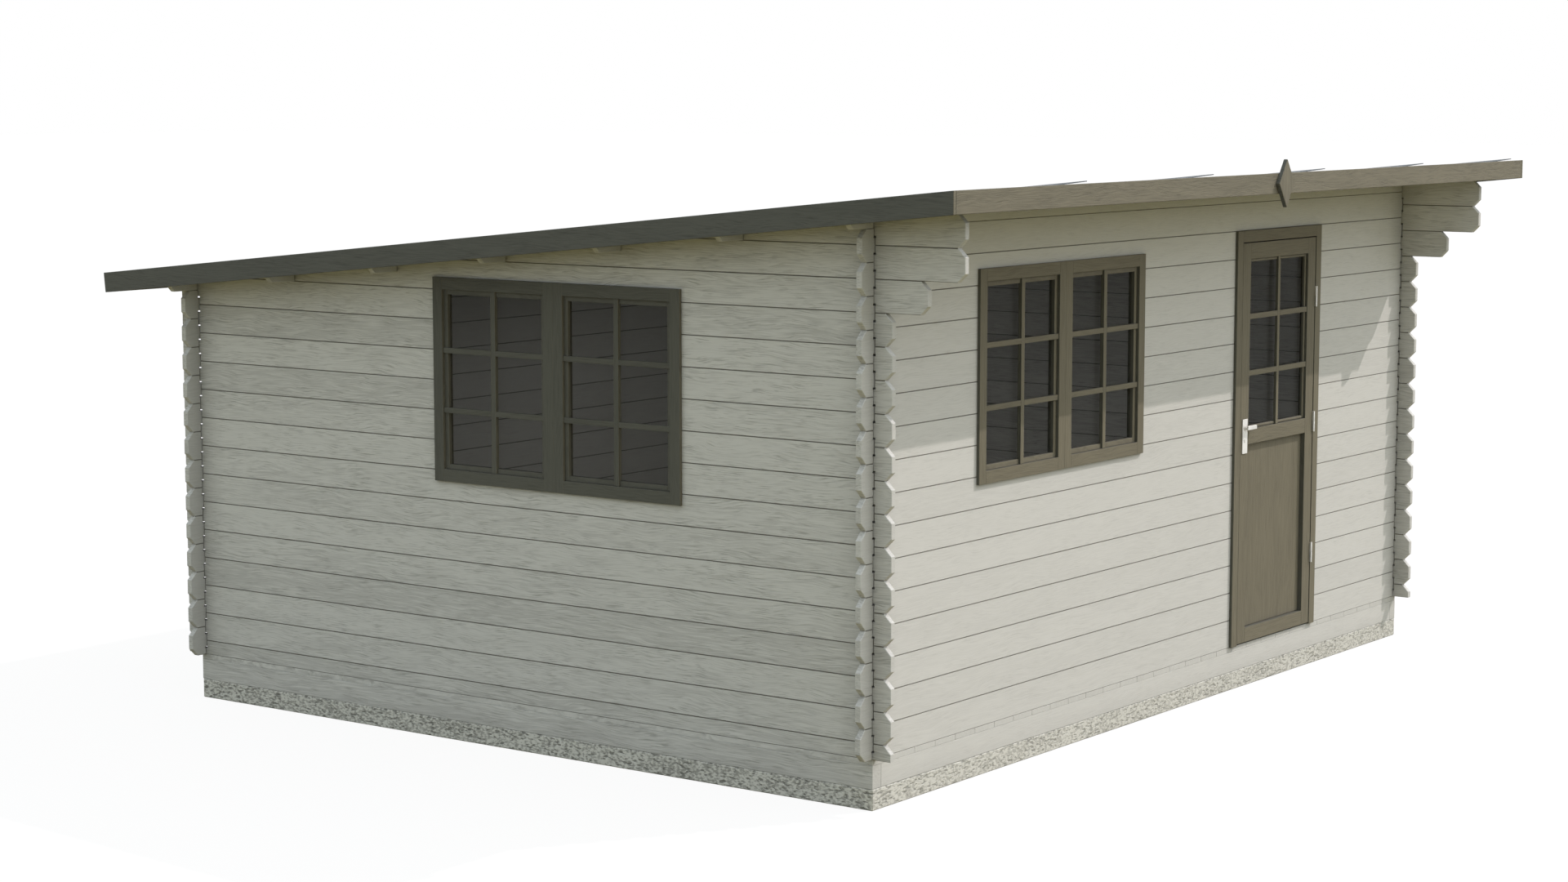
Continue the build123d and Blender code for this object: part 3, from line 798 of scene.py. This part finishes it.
# Floor, light and camera
# A plain pale floor that keeps a faint shadow, a white background, and light from a soft sky, a sun,
# a broad fill light and a dim lamp in the room. The camera stands to the front left, with a long lens.
floor_reach = 120.0
floor_level = -0.001
pure_white = (1, 1, 1, 1)
floor_white = (0.92, 0.92, 0.92, 1)
floor_bounce = (0.200, 0.172, 0.064, 1)
floor_shadow_share = 0.08
sky_color = (0.885, 0.97, 1.0, 1)
sky_strength = 0.82
sun_path = Vector((-1.58, 1.0, -1.887))
sun_strength = 2.20
sun_color = (1.0, 0.925, 0.885)
sun_angle = math.radians(0.4)
fill_path = Vector((-0.5, 1.0, -1.15))
fill_strength = 0.94
fill_color = (1.0, 0.96, 0.97)
fill_angle = math.radians(80)
room_lamp_place = (0, 0, 1.9)
room_lamp_power = 6.6
room_lamp_size = 2.0
room_lamp_color = (1.0, 0.99, 0.93)
camera_place = Vector((-12.4835, -8.8364, 2.9627))
camera_turn = math.radians(-53.65)
camera_tilt = math.radians(90 - 6.81)
camera_lens = 69.915
camera_sensor = 36.0
camera_shift = (0.00579, 0.00115)


def seen_directly(place):
    """1 for what the camera sees, also in glass and metal, and 0 for light that bounces."""
    path = place.tree.nodes.new("ShaderNodeLightPath")
    names = ("Is Camera Ray", "Is Glossy Ray", "Is Transmission Ray")
    camera_ray, glossy_ray, through_ray = [Shade(place.tree, path.outputs[name]) for name in names]
    return place.math("MAXIMUM", camera_ray, place.math("MAXIMUM", glossy_ray, through_ray))


def stage_floor():
    material, place = start_material("stage_floor")
    tree = material.node_tree
    seen = seen_directly(place)
    pale = place.node("ShaderNodeEmission", {}, {"Color": pure_white, "Strength": 1.0})
    shaded = place.node("ShaderNodeBsdfDiffuse", {}, {"Color": floor_white})
    bounce = place.node("ShaderNodeBsdfDiffuse", {}, {"Color": floor_bounce})
    shown = place.node("ShaderNodeMixShader", {}, {0: floor_shadow_share, 1: pale, 2: shaded})
    surface = place.node("ShaderNodeMixShader", {}, {0: seen, 1: bounce, 2: shown})
    tree.links.new(surface.socket, tree.nodes["Material Output"].inputs["Surface"])
    return material


ground = bmesh.new()
bmesh.ops.create_grid(ground, x_segments=1, y_segments=1, size=floor_reach,
                      matrix=Matrix.Translation((0, 0, floor_level)))
ground_mesh = bpy.data.meshes.new("stage_floor")
ground.to_mesh(ground_mesh)
ground.free()
ground_mesh.materials.append(stage_floor())
ground_object = bpy.data.objects.new("stage_floor", ground_mesh)
bpy.context.scene.collection.objects.link(ground_object)

world = bpy.data.worlds.new("studio_sky")
world.use_nodes = True
bpy.context.scene.world = world
background = world.node_tree.nodes["Background"]
sky = Shade(world.node_tree, background.outputs[0])
seen = seen_directly(sky)
world.node_tree.links.new(mix(seen, sky_color, pure_white).socket, background.inputs["Color"])
world.node_tree.links.new((sky_strength + seen * (1 - sky_strength)).socket, background.inputs["Strength"])

for name, path, strength, color, angle in (("sun", sun_path, sun_strength, sun_color, sun_angle),
                                           ("fill", fill_path, fill_strength, fill_color, fill_angle)):
    light = bpy.data.lights.new(name, "SUN")
    light.energy = strength
    light.color = color
    light.angle = angle
    lamp = bpy.data.objects.new(name, light)
    lamp.rotation_euler = path.to_track_quat("-Z", "Y").to_euler()
    bpy.context.scene.collection.objects.link(lamp)

room_light = bpy.data.lights.new("room_lamp", "AREA")
room_light.energy = room_lamp_power
room_light.size = room_lamp_size
room_light.color = room_lamp_color
room_lamp = bpy.data.objects.new("room_lamp", room_light)
room_lamp.location = room_lamp_place
room_lamp.visible_camera = False
bpy.context.scene.collection.objects.link(room_lamp)

lens = bpy.data.cameras.new("camera")
lens.lens = camera_lens
lens.sensor_width = camera_sensor
lens.shift_x, lens.shift_y = camera_shift
lens.clip_end = 2 * floor_reach
camera = bpy.data.objects.new("camera", lens)
camera.location = camera_place
camera.rotation_euler = (camera_tilt, 0, camera_turn)
bpy.context.scene.collection.objects.link(camera)
bpy.context.scene.camera = camera
bpy.context.scene.view_settings.view_transform = "Standard"
